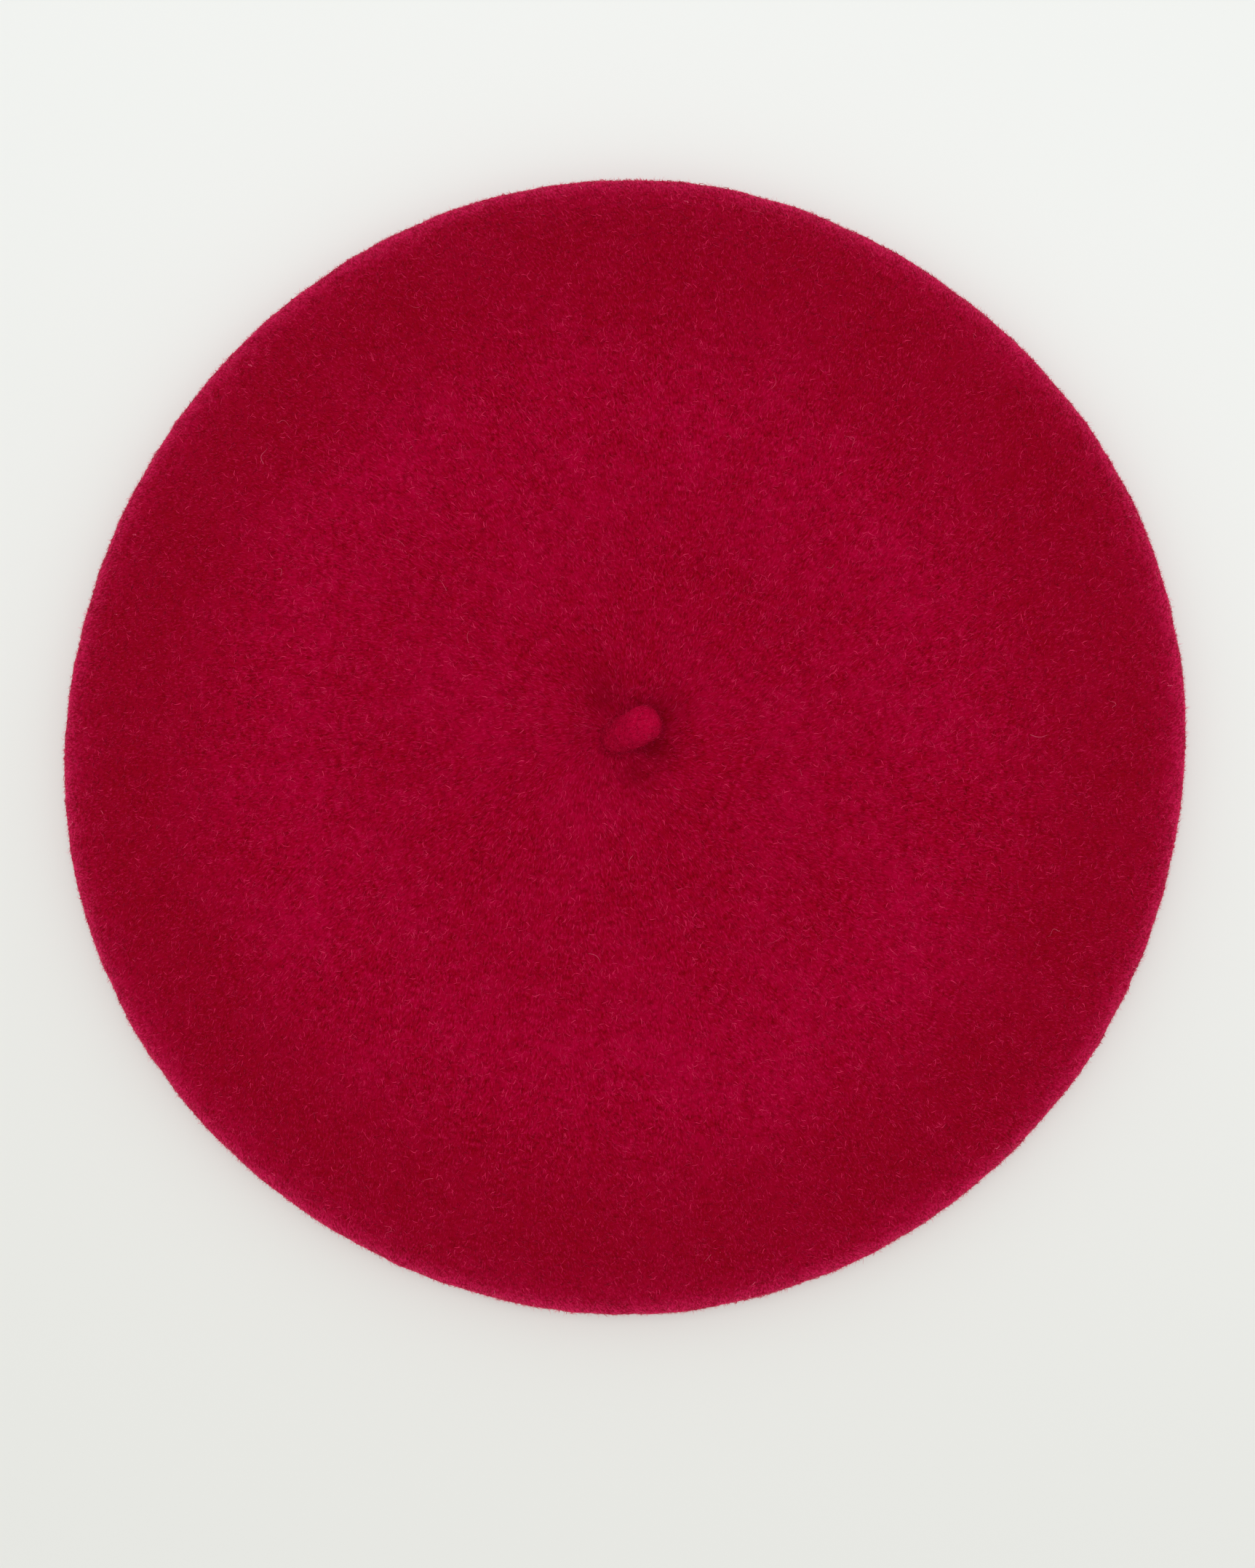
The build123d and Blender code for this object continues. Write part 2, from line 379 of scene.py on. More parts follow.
crown = {
    "thickness": 2.4 * mm,
    "steps": 440,
    "rimHeel": 15 * mm,
    "rimHeight": 9.5 * mm,
    "rimHold": 8 * mm,
    "ridgeHold": 18 * mm,
    "plateauSag": 0.8 * mm,
    "dimpleRadius": 19 * mm,
    "dimpleDepth": 3.9 * mm,
    "dimpleFlat": 2.4 * mm,
    "dimpleWall": 12 * mm,
    "middleRadius": 6.6 * mm,     # thick felt round the root of the stalk
    "middleDepth": 2.6 * mm,
    "marginBend": 1.6 * mm,
    "marginGap": 1.2 * mm,
    "outlineShift": Vector((1.75, -2.3, 0)) * mm,   # the crown lies a little off the head opening
    "ridgeShift": Vector((-0.8, -3.2, 0)) * mm,
    # lobes round the outline: how many, how far they stand out, and where the first one is
    "lobes": ((2, 1.2 * mm, 67), (3, 0.35 * mm, -32), (4, 0.6 * mm, 13), (6, 0.2 * mm, 24)),
    # creases in the dimple: azimuth, half width in degrees, depth and reach
    "creases": ((111, 22, 2.0 * mm, 27 * mm), (-18, 17, 2.2 * mm, 20 * mm), (29, 20, 1.9 * mm, 26 * mm),
                (-62, 22, 1.8 * mm, 18 * mm), (178, 14, 0.6 * mm, 15 * mm)),
    "deepest": 2.6 * mm,
    "wave": 0.5 * mm,
    "waveLength": 55 * mm,
    "edgeLump": 0.3 * mm,
    "lumpSizes": (7 * mm, 3.2 * mm),
    "napDepth": 0.3 * mm,         # what the flattened nap takes up under the crown
    "runFold": 12 * mm,           # past the rim, where the length along the cloth turns back
}


def crownProfile():
    rim = crownBox[1].x
    ridge = crownBox[1].z
    margin = bandBox[1].y                        # the ribbon's outer face
    thick = crown["thickness"]
    turn = crown["marginBend"] + thick
    crest = margin + thick / 2
    plateau = ridge - crown["plateauSag"]
    floor = plateau - crown["dimpleDepth"]
    lip = crown["dimpleRadius"]
    flatEnd = crown["dimpleFlat"]
    wall = crown["dimpleWall"]
    halfway = (lip + crest) / 2
    flat = rim - crown["rimHeel"]
    marginTop = ridge - thick - crown["marginGap"]
    middle = crown["middleRadius"]
    underMiddle = floor - crown["middleDepth"]

    def side(inset, count):
        # from the dimple's lip out to the rim, under it, and in to where the margin turns up
        points = curveThrough((lip, plateau - inset), (halfway, plateau - inset),
                              (halfway, ridge - inset), (crest, ridge - inset), count)
        points += curveThrough((crest, ridge - inset), (crest + crown["ridgeHold"], ridge - inset),
                               (rim - inset, crown["rimHeight"] + crown["rimHold"]),
                               (rim - inset, crown["rimHeight"]), count)
        points += arcRound((flat, crown["rimHeight"]), crown["rimHeel"] - inset,
                           crown["rimHeight"] - inset, 0, -90, count // 3)
        points += straight((flat, inset), (margin + turn, inset), count // 2)
        points += arcRound((margin + turn, turn), turn - inset, turn - inset, 270, 180, 6)
        return points

    outer = straight((0, floor), (flatEnd, floor), 3)
    outer += curveThrough((flatEnd, floor), (7 * mm, floor), (wall, plateau), (lip, plateau), 18)
    outer += side(0, 36)
    outer += straight((margin, turn), (margin, marginTop), 8)
    inner = arcRound((margin + thick / 2, marginTop), thick / 2, thick / 3, 180, 0, 6)
    inner += straight((margin + thick, marginTop), (margin + thick, turn), 5)
    inner += side(thick, 20)[::-1]
    inner += curveThrough((lip, plateau - thick), (wall, plateau - thick),
                          (middle + 4.5 * mm, underMiddle), (middle, underMiddle), 8)
    inner += straight((middle, underMiddle), (0, underMiddle), 3) + [Vector((0, underMiddle))]
    # the length along the cloth turns back, so that the nap stays even under the rim
    runs = [0.0]
    fold = rim + crown["runFold"]
    for before, after in zip(outer, outer[1:]):
        runs.append(runs[-1] + (after - before).length)
    runs = [length if length < fold else 2 * fold - length for length in runs]
    outside = [1.0] * len(outer) + [0.0] * len(inner)
    return outer + inner, {"napRun": runs + [point.x + 1 * mm for point in inner], "outside": outside}


def crownShape(bm):
    # lays the even crown down as cloth lies: shifted, lobed, waved and creased
    rim = crownBox[1].x
    ridge = crownBox[1].z
    margin = bandBox[1].y
    coarse, fine = crown["lumpSizes"]
    hollow = bm.verts.layers.float.new("hollow")
    for vertex in bm.verts:
        x, y, z = vertex.co
        radius = math.hypot(x, y)
        if radius < 0.01 * mm:
            continue
        angle = math.atan2(y, x)
        outward = Vector((x, y, 0)) / radius
        reach = ease(radius, margin + 12 * mm, rim - 6 * mm)
        lobes = sum(size * math.cos(count * (angle - math.radians(first)))
                    for count, size, first in crown["lobes"])
        move = (outward * lobes + crown["outlineShift"]) * reach
        lumps = noise.noise(vertex.co / coarse) + 0.5 * noise.noise(vertex.co / fine)
        move += outward * lumps * crown["edgeLump"] * ease(radius, rim - 12 * mm, rim - 2 * mm)
        if z > ridge - 7 * mm or (radius > margin + 5 * mm and z > crown["rimHeight"]):
            ring = ease(radius, 24 * mm, 60 * mm) * (1 - ease(radius, margin + 14 * mm, rim - 14 * mm))
            move += crown["ridgeShift"] * ring
            flat = Vector((x, y, 0)) / crown["waveLength"]
            wave = noise.noise(flat + Vector((3.1, 7.7, 0))) + 0.5 * noise.noise(flat / 0.45)
            move.z += wave * crown["wave"] * ease(radius, 14 * mm, 40 * mm)
            for azimuth, width, depth, length in crown["creases"]:
                off = (math.degrees(angle) - azimuth + 180) % 360 - 180
                near = ease(radius, 4 * mm, 9 * mm) * (1 - ease(radius, 0.4 * length, length))
                sunk = depth * math.exp(-((off / width) ** 2)) * near
                move.z -= sunk
                # how deep the crease sinks here, for the painted shade in it
                vertex[hollow] += sunk / crown["deepest"]
        vertex.co += move
        vertex.co.z = max(vertex.co.z, crown["napDepth"])


def makeCrown():
    points, layers = crownProfile()
    bm = turned(points, crown["steps"], layers)
    crownShape(bm)
    piece = finished(bm, "crown_felt", feltFinish("milled felt"))
    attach(piece, "crown")
    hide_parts("crown")
    print("crown made with", len(piece.data.polygons), "faces")
    return piece


# The stalk stands up out of the dimple's floor and bends over
stalk = {
    # deep, at the foot, to body, towards the tip: painted shade low in the dimple
    "deep": paint(155, 0, 36),
    "body": paint(170, 0, 47),
    "light": paint(192, 18, 68),
    "lean": 42.0,
    "azimuth": 26.0,
    "bendStart": 0.6 * mm,
    "bendEnd": 4.8 * mm,
    # height along the stalk and its radius there
    "outline": ((0.0, 5.6), (0.25, 4.9), (0.7, 4.5), (1.4, 4.25), (2.4, 4.2), (4.0, 4.25), (6.4, 4.4),
                (8.6, 4.55), (10.4, 4.65), (12.0, 4.65), (13.6, 4.45), (15.0, 3.8), (16.1, 2.8),
                (16.75, 1.5), (16.95, 0.0)),
    "steps": 48,
    "rung": 0.25 * mm,
    "lump": 0.3 * mm,
    "lumpSize": 3.1 * mm,
    "knotSize": 0.9 * mm,
    "hairSize": 0.3 * mm,
    "relief": 0.3 * mm,
    "sheen": 0.15,
    "sheenTint": (1.0, 0.0, 0.08, 1.0),
    "hinge": (-2.5 * mm, 3.5 * mm),    # two lengths along it from the pivot
}


def stalkTurn(height):
    azimuth = math.radians(stalk["azimuth"])
    across = Vector((-math.sin(azimuth), math.cos(azimuth), 0))
    lean = math.radians(stalk["lean"]) * ease(height, stalk["bendStart"], stalk["bendEnd"])
    return Matrix.Rotation(lean, 3, across)


def stalkFinish(name):
    finish = Finish(name)
    where = finish.place()
    knots = finish.grain(where, stalk["knotSize"], 3.0, 0.6)
    hairs = finish.grain(finish.vector("MULTIPLY", where, (1, 1, 0.4)), stalk["hairSize"], 2.0)
    height = finish.attribute("napRun") - stalkRun
    # painted shade: darker at the foot, lighter towards the tip
    colour = finish.mixed(height.rise(2 * mm, 13 * mm), stalk["deep"], stalk["body"])
    colour = finish.mixed((knots + hairs * 0.6).rise(0.75, 1.05) * 0.7, colour, stalk["light"])
    return finish.surface(
        Base_Color=colour,
        Roughness=0.95,
        Specular_IOR_Level=0.03,
        Sheen_Weight=stalk["sheen"],
        Sheen_Roughness=0.5,
        Sheen_Tint=stalk["sheenTint"],
        Normal=finish.bump(knots * 0.7 + hairs * 0.3, stalk["relief"]),
    )


def makeStalk():
    floor = crownBox[1].z - crown["plateauSag"] - crown["dimpleDepth"]
    marks = [Vector((radius * mm, height * mm)) for height, radius in stalk["outline"]]
    outline = []
    for before, after in zip(marks, marks[1:]):
        outline += straight(before, after, 3)
    outline.append(marks[-1])
    length = marks[-1].y
    layers = {"napRun": [stalkRun + point.y for point in outline], "outside": [1.0] * len(outline)}
    bm = turned(outline, stalk["steps"], layers)
    for _ in range(3):
        bmesh.ops.smooth_vert(bm, verts=[v for v in bm.verts if v.co.z > 0.2 * mm], factor=0.5,
                              use_axis_x=True, use_axis_y=True, use_axis_z=True)
    middle = [Vector((0, 0, floor))]
    while len(middle) * stalk["rung"] < length + 1 * mm:
        middle.append(middle[-1] + stalkTurn(len(middle) * stalk["rung"]) @ Vector((0, 0, stalk["rung"])))
    for vertex in bm.verts:
        height = max(0.0, vertex.co.z)
        flat = Vector((vertex.co.x, vertex.co.y, 0))
        lump = noise.noise(vertex.co / stalk["lumpSize"]) * stalk["lump"] * ease(height, 1 * mm, 4 * mm)
        if flat.length > 0.01 * mm:
            flat += flat.normalized() * lump
        step = int(height / stalk["rung"])
        share = height / stalk["rung"] - step
        vertex.co = middle[step].lerp(middle[step + 1], share) + stalkTurn(height) @ flat
    piece = finished(bm, "stalk_felt", stalkFinish("stalk felt"))
    hingeStalk(piece)
    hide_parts("stalk")
    print("stalk made with", len(piece.data.polygons), "faces")
    return piece


def hingeStalk(piece):
    along = stalkTurn(1.0) @ Vector((0, 0, 1))
    start, end = (pivot + along * reach for reach in stalk["hinge"])
    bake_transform(piece)


# Loose fibres that stand in the felt
fibre = {
    "shadow": paint(136, 0, 18),
    "body": paint(157, 0, 41),
    "pale": paint(203, 36, 79),
    "palest": paint(244, 132, 158),
    "paleShare": 0.26,
    "sheen": 0.9,
    "stalkSheen": 0.0,
    "tuft": 4.5 * mm,
    "drift": 16 * mm,             # the size of the swirls in the nap, and how far they turn it
    "driftTurn": 110,
    "rimReach": (118 * mm, 132 * mm),
    # the paler tone, and how much of it, that the painted rim glow gives the strands
    "glowTone": 0.94,
    "glowShare": 0.7,
}


def fibreFinish(name, sheen):
    # across the map runs the tone of the fibre, and up it its length
    finish = Finish(name)
    chart = finish.node("ShaderNodeUVMap", {"uv_map": "OFBake"})
    tone = finish.part(chart, "X")
    along = finish.part(chart, "Y")
    pale = 1 - fibre["paleShare"]
    colour = finish.mixed(tone.rise(0.0, pale), fibre["shadow"], fibre["body"])
    colour = finish.mixed(tone.rise(pale - 0.04, 0.95) * along.rise(-0.6, 0.4), colour, fibre["pale"])
    colour = finish.mixed(tone.rise(0.95, 1.0), colour, fibre["palest"])
    return finish.surface(
        Base_Color=colour,
        Roughness=0.9,
        Specular_IOR_Level=0.02,
        Sheen_Weight=sheen,
        Sheen_Roughness=felt["sheenSpread"],
        Sheen_Tint=felt["sheenTint"],
    )


def strandShapes(name, kinds, sides, segments, width, curl, seed):
    # strands one metre long, to be scattered small; one side makes a flat strip and three a tube
    rolls = random.Random(seed)
    shelf = bpy.data.collections.new(name)
    for kind in range(kinds):
        hook, wave, lift = (rolls.uniform(-1, 1) * curl for _ in range(3))
        line = [Vector((0, 0, 0))]
        headings = [-0.3 * hook]
        for step in range(segments):
            t = (step + 1) / segments
            headings.append(hook * (t - 0.3) + wave * math.sin(math.tau * t))
            rise = 0.25 * abs(lift) * math.cos(math.pi * t)
            ahead = Vector((math.sin(headings[-1]), math.cos(headings[-1]), rise))
            line.append(line[-1] + ahead / segments)
        bm = bmesh.new()
        bm.loops.layers.uv.new("OFBake")
        bmesh.ops.create_grid(bm, x_segments=sides, y_segments=segments, size=0.5, calc_uvs=True)
        for vertex in bm.verts:
            up = vertex.co.y + 0.5
            step = round(up * segments)
            half = width / 2 * (1 - 0.7 * up * up)
            side = Vector((math.cos(headings[step]), -math.sin(headings[step]), 0)) * half
            angle = math.tau * (vertex.co.x + 0.5)
            if sides == 1:
                vertex.co = line[step] + side * 2 * vertex.co.x
            else:
                vertex.co = line[step] + side * math.cos(angle) + Vector((0, 0, half * math.sin(angle)))
        if sides > 1:
            bmesh.ops.remove_doubles(bm, verts=bm.verts, dist=width / 20)
        mesh = bpy.data.meshes.new(name)
        bm.to_mesh(mesh)
        bm.free()
        mesh.shade_smooth()
        shelf.objects.link(bpy.data.objects.new(name, mesh))
    return shelf


def fibres(name, ground, shelf, coat, material, flow):
    # grows strands on the ground's mesh and keeps the result as a plain mesh
    group = bpy.data.node_groups.new(name, "GeometryNodeTree")
    for end in ("INPUT", "OUTPUT"):
        group.interface.new_socket("Geometry", in_out=end, socket_type="NodeSocketGeometry")
    graph = Graph(group)
    seed = coat["seed"]

    def chance(low, high, extra):
        inputs = {2: low, 3: high, 8: seed + extra}
        return graph.node("FunctionNodeRandomValue", {"data_type": "FLOAT"}, inputs, 1)

    def chanceVector(size, extra):
        inputs = {0: (-size,) * 3, 1: (size,) * 3, 8: seed + extra}
        return graph.node("FunctionNodeRandomValue", {"data_type": "FLOAT_VECTOR"}, inputs, 0)

    def named(kind, attribute):
        return graph.node("GeometryNodeInputNamedAttribute", {"data_type": kind}, {"Name": attribute})

    source = graph.node("NodeGroupInput")
    place = graph.node("GeometryNodeInputPosition")
    face = graph.node("GeometryNodeInputNormal")
    tufts = graph.grain(place, fibre["tuft"], 3.0, 0.6)
    tufts = tufts.rise(0.35, 0.65, 1 - coat["tufted"], 1 + coat["tufted"])
    bare = named("FLOAT", "hollow").rise(0.0, 1.0, 0.0, 0.8)
    density = coat["density"](graph, place, face) * named("FLOAT", "outside") * tufts * (1 - bare)
    settings = {"distribute_method": "RANDOM"}
    inputs = {"Mesh": source, "Density": density, "Seed": seed}
    points = graph.node("GeometryNodeDistributePointsOnFaces", settings, inputs, "Points")
    distributed = points.socket.node
    normal = Wire(graph, distributed.outputs["Normal"])

    way = flow(graph, place, normal)
    fromMiddle = graph.vector("LENGTH", graph.vector("MULTIPLY", place, (1, 1, 0)), output=1)
    stray = graph.scaled(chanceVector(coat["stray"], 1), fromMiddle.rise(20 * mm, 60 * mm, 0.4, 1.0))
    way = graph.vector("ADD", way, stray)
    lift = graph.vector("DOT_PRODUCT", way, normal, output=1)
    level = graph.vector("NORMALIZE", graph.vector("SUBTRACT", way, graph.scaled(normal, lift)))
    stand = chance(*coat["stand"], 2)
    way = graph.vector("ADD", level, graph.scaled(normal, stand))
    roll = chance(-math.radians(coat["roll"]), math.radians(coat["roll"]), 3)
    upward = graph.node("ShaderNodeVectorRotate", {"rotation_type": "AXIS_ANGLE"},
                        {"Vector": normal, "Axis": way, "Angle": roll})
    heading = graph.node("FunctionNodeAxesToRotation", {"primary_axis": "Y", "secondary_axis": "Z"},
                         {"Primary Axis": way, "Secondary Axis": upward})
    shapes = graph.node("GeometryNodeCollectionInfo", None,
                        {"Collection": shelf, "Separate Children": True})
    kinds = len(shelf.objects)
    pick = graph.node("FunctionNodeRandomValue", {"data_type": "INT"}, {4: 0, 5: kinds - 1, 8: seed + 4}, 2)
    placed = graph.node("GeometryNodeInstanceOnPoints", None,
                        {"Points": points, "Instance": shapes, "Pick Instance": True,
                         "Instance Index": pick, "Rotation": heading, "Scale": chance(*coat["length"], 5)})

    def stored(geometry, kind, domain, attribute, value):
        return graph.node("GeometryNodeStoreNamedAttribute", {"data_type": kind, "domain": domain},
                          {"Geometry": geometry, "Name": attribute, "Value": value})

    run = named("FLOAT", "napRun")
    tone = chance(*coat["tone"], 6)
    # the strands follow the same painted shade and wear as the felt
    tone = tone - shadeAndWear(run) * coat["worn"] + mottling(graph, place) * coat["mottle"]
    tone = tone.math("MINIMUM", tone, coat["tone"][1])
    # painted highlight: near the rim the strands are painted paler with the rim's glow
    rimGlow = rimGlowAndFluff(run, graph.part(place, "Z"))
    glowingTone = tone + (fibre["glowTone"] - tone) * rimGlow * fibre["glowShare"]
    placed = stored(placed, "FLOAT", "INSTANCE", "tone", tone.math("MAXIMUM", tone, glowingTone))
    grown = graph.node("GeometryNodeRealizeInstances", None, {"Geometry": placed})
    chart = named("FLOAT_VECTOR", "OFBake")
    across = named("FLOAT", "tone") * 0.98 + graph.part(chart, "X") * 0.02
    grown = stored(grown, "FLOAT2", "CORNER", "OFBake", graph.joined(across, graph.part(chart, "Y")))
    grown = graph.node("GeometryNodeRemoveAttribute", None, {"Geometry": grown, "Name": "tone"})
    graph.node("NodeGroupOutput", None, {0: grown}, None)

    grower = bpy.data.objects.new(name, ground.data)
    bpy.context.scene.collection.objects.link(grower)
    grower.modifiers.new("fibres", "NODES").node_group = group
    view = bpy.context.evaluated_depsgraph_get()
    mesh = bpy.data.meshes.new_from_object(grower.evaluated_get(view), depsgraph=view)
    bpy.data.objects.remove(grower)
    bpy.data.node_groups.remove(group)
    mesh.name = name
    mesh.materials.clear()
    mesh.materials.append(material)
    for vertex in mesh.vertices:
        vertex.co.z = max(vertex.co.z, 0)      # pressed flat by the table
    piece = bpy.data.objects.new(name, mesh)
    bpy.context.scene.collection.objects.link(piece)
    print(name, "made with", len(mesh.polygons), "faces")
    return piece


def crownFlow(graph, place, normal):
    # along the cloth, outwards over the top, down the rim and in along the underside
    level = graph.vector("NORMALIZE", graph.vector("MULTIPLY", place, (1, 1, 0)))
    around = graph.vector("CROSS_PRODUCT", (0, 0, 1), level)
    outwards = graph.vector("CROSS_PRODUCT", around, normal)
    turn = (graph.grain(place, fibre["drift"], 1.0) - 0.5) * math.radians(fibre["driftTurn"])
    turn = turn + math.radians(felt["swirl"])
    return graph.node("ShaderNodeVectorRotate", {"rotation_type": "AXIS_ANGLE"},
                      {"Vector": outwards, "Axis": normal, "Angle": turn})


def stalkFlow(graph, place, normal):
    return tuple(stalkTurn(1.0) @ Vector((0, 0, 1)))


def onTop(perSquare):
    def density(graph, place, face):
        return graph.part(face, "Z").rise(0.02, 0.3) * (perSquare / mm**2)
    return density


def onRim(perSquare, steepest, flattest):
    def density(graph, place, face):
        upright = abs(graph.part(face, "Z")).rise(steepest, flattest, 1.0, 0.0)
        length = graph.vector("LENGTH", graph.vector("MULTIPLY", place, (1, 1, 0)), output=1)
        return upright * length.rise(*fibre["rimReach"]) * (perSquare / mm**2)
    return density


def onUnderside(perSquare):
    def density(graph, place, face):
        return graph.part(face, "Z").rise(-0.6, -0.2, 1.0, 0.0) * (perSquare / mm**2)
    return density


def anywhere(perSquare):
    return lambda graph, place, face: perSquare / mm**2


# Each coat: how many strands to a square millimetre, shortest and longest, how far they stand up, how far
# they stray from the nap's own way, how far they roll, their tones, how much those follow the painted shade
# and wear and how far they vary from spot to spot, and how much the strands gather in tufts
lyingNap = {"density": onTop(0.4), "length": (0.6 * mm, 1.5 * mm), "stand": (0.02, 0.3), "stray": 1.4,
            "roll": 50, "tone": (0.38, 0.84), "worn": 0.35, "mottle": 1.9, "tufted": 0.4, "shape": "short"}
curlingNap = {"density": onTop(0.27), "length": (0.5 * mm, 1.6 * mm), "stand": (0.05, 0.35), "stray": 1.6,
              "roll": 60, "tone": (0.7, 0.96), "worn": 0.08, "mottle": 0.9, "tufted": 0.7, "shape": "curly"}
coats = {
    "nap_top_a": {**lyingNap, "seed": 11},
    "nap_top_b": {**lyingNap, "seed": 37},
    "nap_top_c": {**lyingNap, "seed": 41},
    "curls_top_a": {**curlingNap, "seed": 113},
    "curls_top_b": {**curlingNap, "seed": 127},
    "hairs_top": {"seed": 131, "density": onTop(0.0012), "length": (2.0 * mm, 5 * mm),
                  "stand": (0.1, 0.3), "stray": 2.0, "roll": 180, "tone": (0.965, 0.98), "worn": 0.0,
                  "mottle": 0.0, "tufted": 0.0, "shape": "long"},
    "nap_rim": {"seed": 53, "density": onRim(0.7, 0.55, 0.95), "length": (0.6 * mm, 1.6 * mm),
                "stand": (0.02, 0.4), "stray": 1.4, "roll": 60, "tone": (0.72, 0.98), "worn": 0.0,
                "mottle": 0.0, "tufted": 0.3, "shape": "short"},
    "fuzz_rim": {"seed": 59, "density": onRim(3.2, 0.4, 0.8), "length": (0.6 * mm, 1.7 * mm),
                 "stand": (0.4, 1.3), "stray": 1.5, "roll": 180, "tone": (0.97, 1.0), "worn": 0.0,
                 "mottle": 0.0, "tufted": 0.5, "shape": "fine"},
    "nap_underside": {"seed": 71, "density": onUnderside(0.4), "length": (0.6 * mm, 1.6 * mm),
                      "stand": (0.02, 0.2), "stray": 0.9, "roll": 40, "tone": (0.2, 0.92), "worn": 0.0,
                      "mottle": 0.4, "tufted": 0.4, "shape": "short"},
    "nap_stalk": {"seed": 97, "density": anywhere(3.0), "length": (0.4 * mm, 1.2 * mm),
                  "stand": (0.1, 1.0), "stray": 0.9, "roll": 90, "tone": (0.45, 0.96), "worn": 0.0,
                  "mottle": 0.0, "tufted": 0.3, "shape": "short"},
}


def makeNap(crownPiece, stalkPiece):
    looseWool = fibreFinish("loose wool", fibre["sheen"])
    stalkWool = fibreFinish("stalk wool", fibre["stalkSheen"])
    # how many shapes, sides and segments, and the width and curl of a strand one metre long
    shelves = {
        "short": strandShapes("short strands", 8, 1, 3, 0.15, 0.7, 5),
        "curly": strandShapes("curly strands", 12, 1, 5, 0.14, 0.42, 6),
        "fine": strandShapes("fine strands", 12, 1, 3, 0.045, 1.3, 9),
        "long": strandShapes("long hairs", 8, 3, 14, 0.026, 1.5, 7),
    }
    for name, coat in coats.items():
        shelf = shelves[coat["shape"]]
        if name == "nap_stalk":
            hingeStalk(fibres(name, stalkPiece, shelf, coat, stalkWool, stalkFlow))
        else:
            piece = fibres(name, crownPiece, shelf, coat, looseWool, crownFlow)
            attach(piece, "crown")
    for shelf in shelves.values():
        for shape in list(shelf.objects):
            bpy.data.meshes.remove(shape.data)
        bpy.data.collections.remove(shelf)


# The sweatband's ribbon: crosswise ribs, and edges that pucker between the stitches
ribbon = {
    "colour": paint(96, 10, 26),
    # painted shade in the grooves between the ribs
    "grooveShade": paint(52, 3, 12),
    "fluff": paint(122, 22, 40),
    "picks": (0.24 * mm, 0.5 * mm),
    "fuzz": 0.25 * mm,
    "wornPatch": 9 * mm,
    "relief": 0.07 * mm,
    "gap": 0.5 * mm,
    "thickness": 0.8 * mm,
    "ribs": 560,               # round the whole band
    "ribRelief": 0.16 * mm,
    "picot": 0.14 * mm,
    "pucker": 0.3 * mm,
    "stitchPitch": 4.0 * mm,
    "rowInset": 2.0 * mm,
}


def ribbonFinish(name):
    finish = Finish(name)
    where = finish.place()
    angle = finish.bearing(where)
    along = angle * bandFace
    ribs = angle.math("COSINE", angle * ribbon["ribs"])
    height = finish.part(where, "Z")
    high, wide = ribbon["picks"]
    picks = height.math("SINE", height * (math.tau / high) + along * (math.tau / wide))
    fuzz = finish.grain(where, ribbon["fuzz"], 2.0)
    worn = finish.grain(where, ribbon["wornPatch"], 3.0)
    # painted shade: darker in the grooves between the ribs
    colour = finish.mixed(ribs.rise(-0.9, 0.5), ribbon["grooveShade"], ribbon["colour"])
    colour = finish.mixed((fuzz + worn * 0.6).rise(0.7, 1.1) * 0.4, colour, ribbon["fluff"])
    return finish.surface(
        Base_Color=colour,
        Roughness=0.62 + worn * 0.2,
        Specular_IOR_Level=0.3,
        Sheen_Weight=0.2,
        Sheen_Roughness=0.4,
        Normal=finish.bump(picks * 0.5 + fuzz * 0.5, ribbon["relief"]),
    )


def makeRibbon():
    low, high = bandBox
    outer = high.y
    inner = outer - ribbon["thickness"]
    gapTurn = ribbon["gap"] / inner
    start = -math.pi / 2 + gapTurn / 2
    heights = [0.0, 0.2, 1.0, 2.0, 3.2, 6.0, 9.0, 12.0, 14.8, 16.0, 17.0, 17.8, 18.0]
    section = [(inner, low.z + height * mm) for height in heights]
    section += [(outer, high.z), (outer, (low.z + high.z) / 2), (outer, low.z)]
    bm = turned(section + section[:1], 4 * ribbon["ribs"], None, start, math.tau - gapTurn)
    bmesh.ops.holes_fill(bm, edges=[edge for edge in bm.edges if edge.is_boundary])
    bmesh.ops.recalc_face_normals(bm, faces=bm.faces)
    rows = (low.z + ribbon["rowInset"], high.z - ribbon["rowInset"])
    for vertex in bm.verts:
        angle = math.atan2(vertex.co.y, vertex.co.x)
        radius = math.hypot(vertex.co.x, vertex.co.y)
        swell = 0.5 + 0.5 * math.cos(angle * ribbon["ribs"])
        pucker = 0.5 - 0.5 * math.cos((angle + math.pi / 2) * inner * math.tau / ribbon["stitchPitch"])
        beyond = ease(max(rows[0] - vertex.co.z, vertex.co.z - rows[1]), 0, ribbon["rowInset"])
        change = -ribbon["pucker"] * pucker * beyond
        if radius < inner + 0.1 * mm:
            change += ribbon["ribRelief"] * (1 - swell)
        edge = ease(abs(vertex.co.z - (low.z + high.z) / 2), 8.4 * mm, 9 * mm)
        vertex.co.z += math.copysign(ribbon["picot"] * (swell - 1) * edge, vertex.co.z - low.z - 9 * mm)
        vertex.co += Vector((math.cos(angle), math.sin(angle), 0)) * change
    piece = finished(bm, "sweatband_ribbon", ribbonFinish("grosgrain ribbon"))
    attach(piece, "crown")
    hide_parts("sweatband")
    print("ribbon made with", len(piece.data.polygons), "faces")


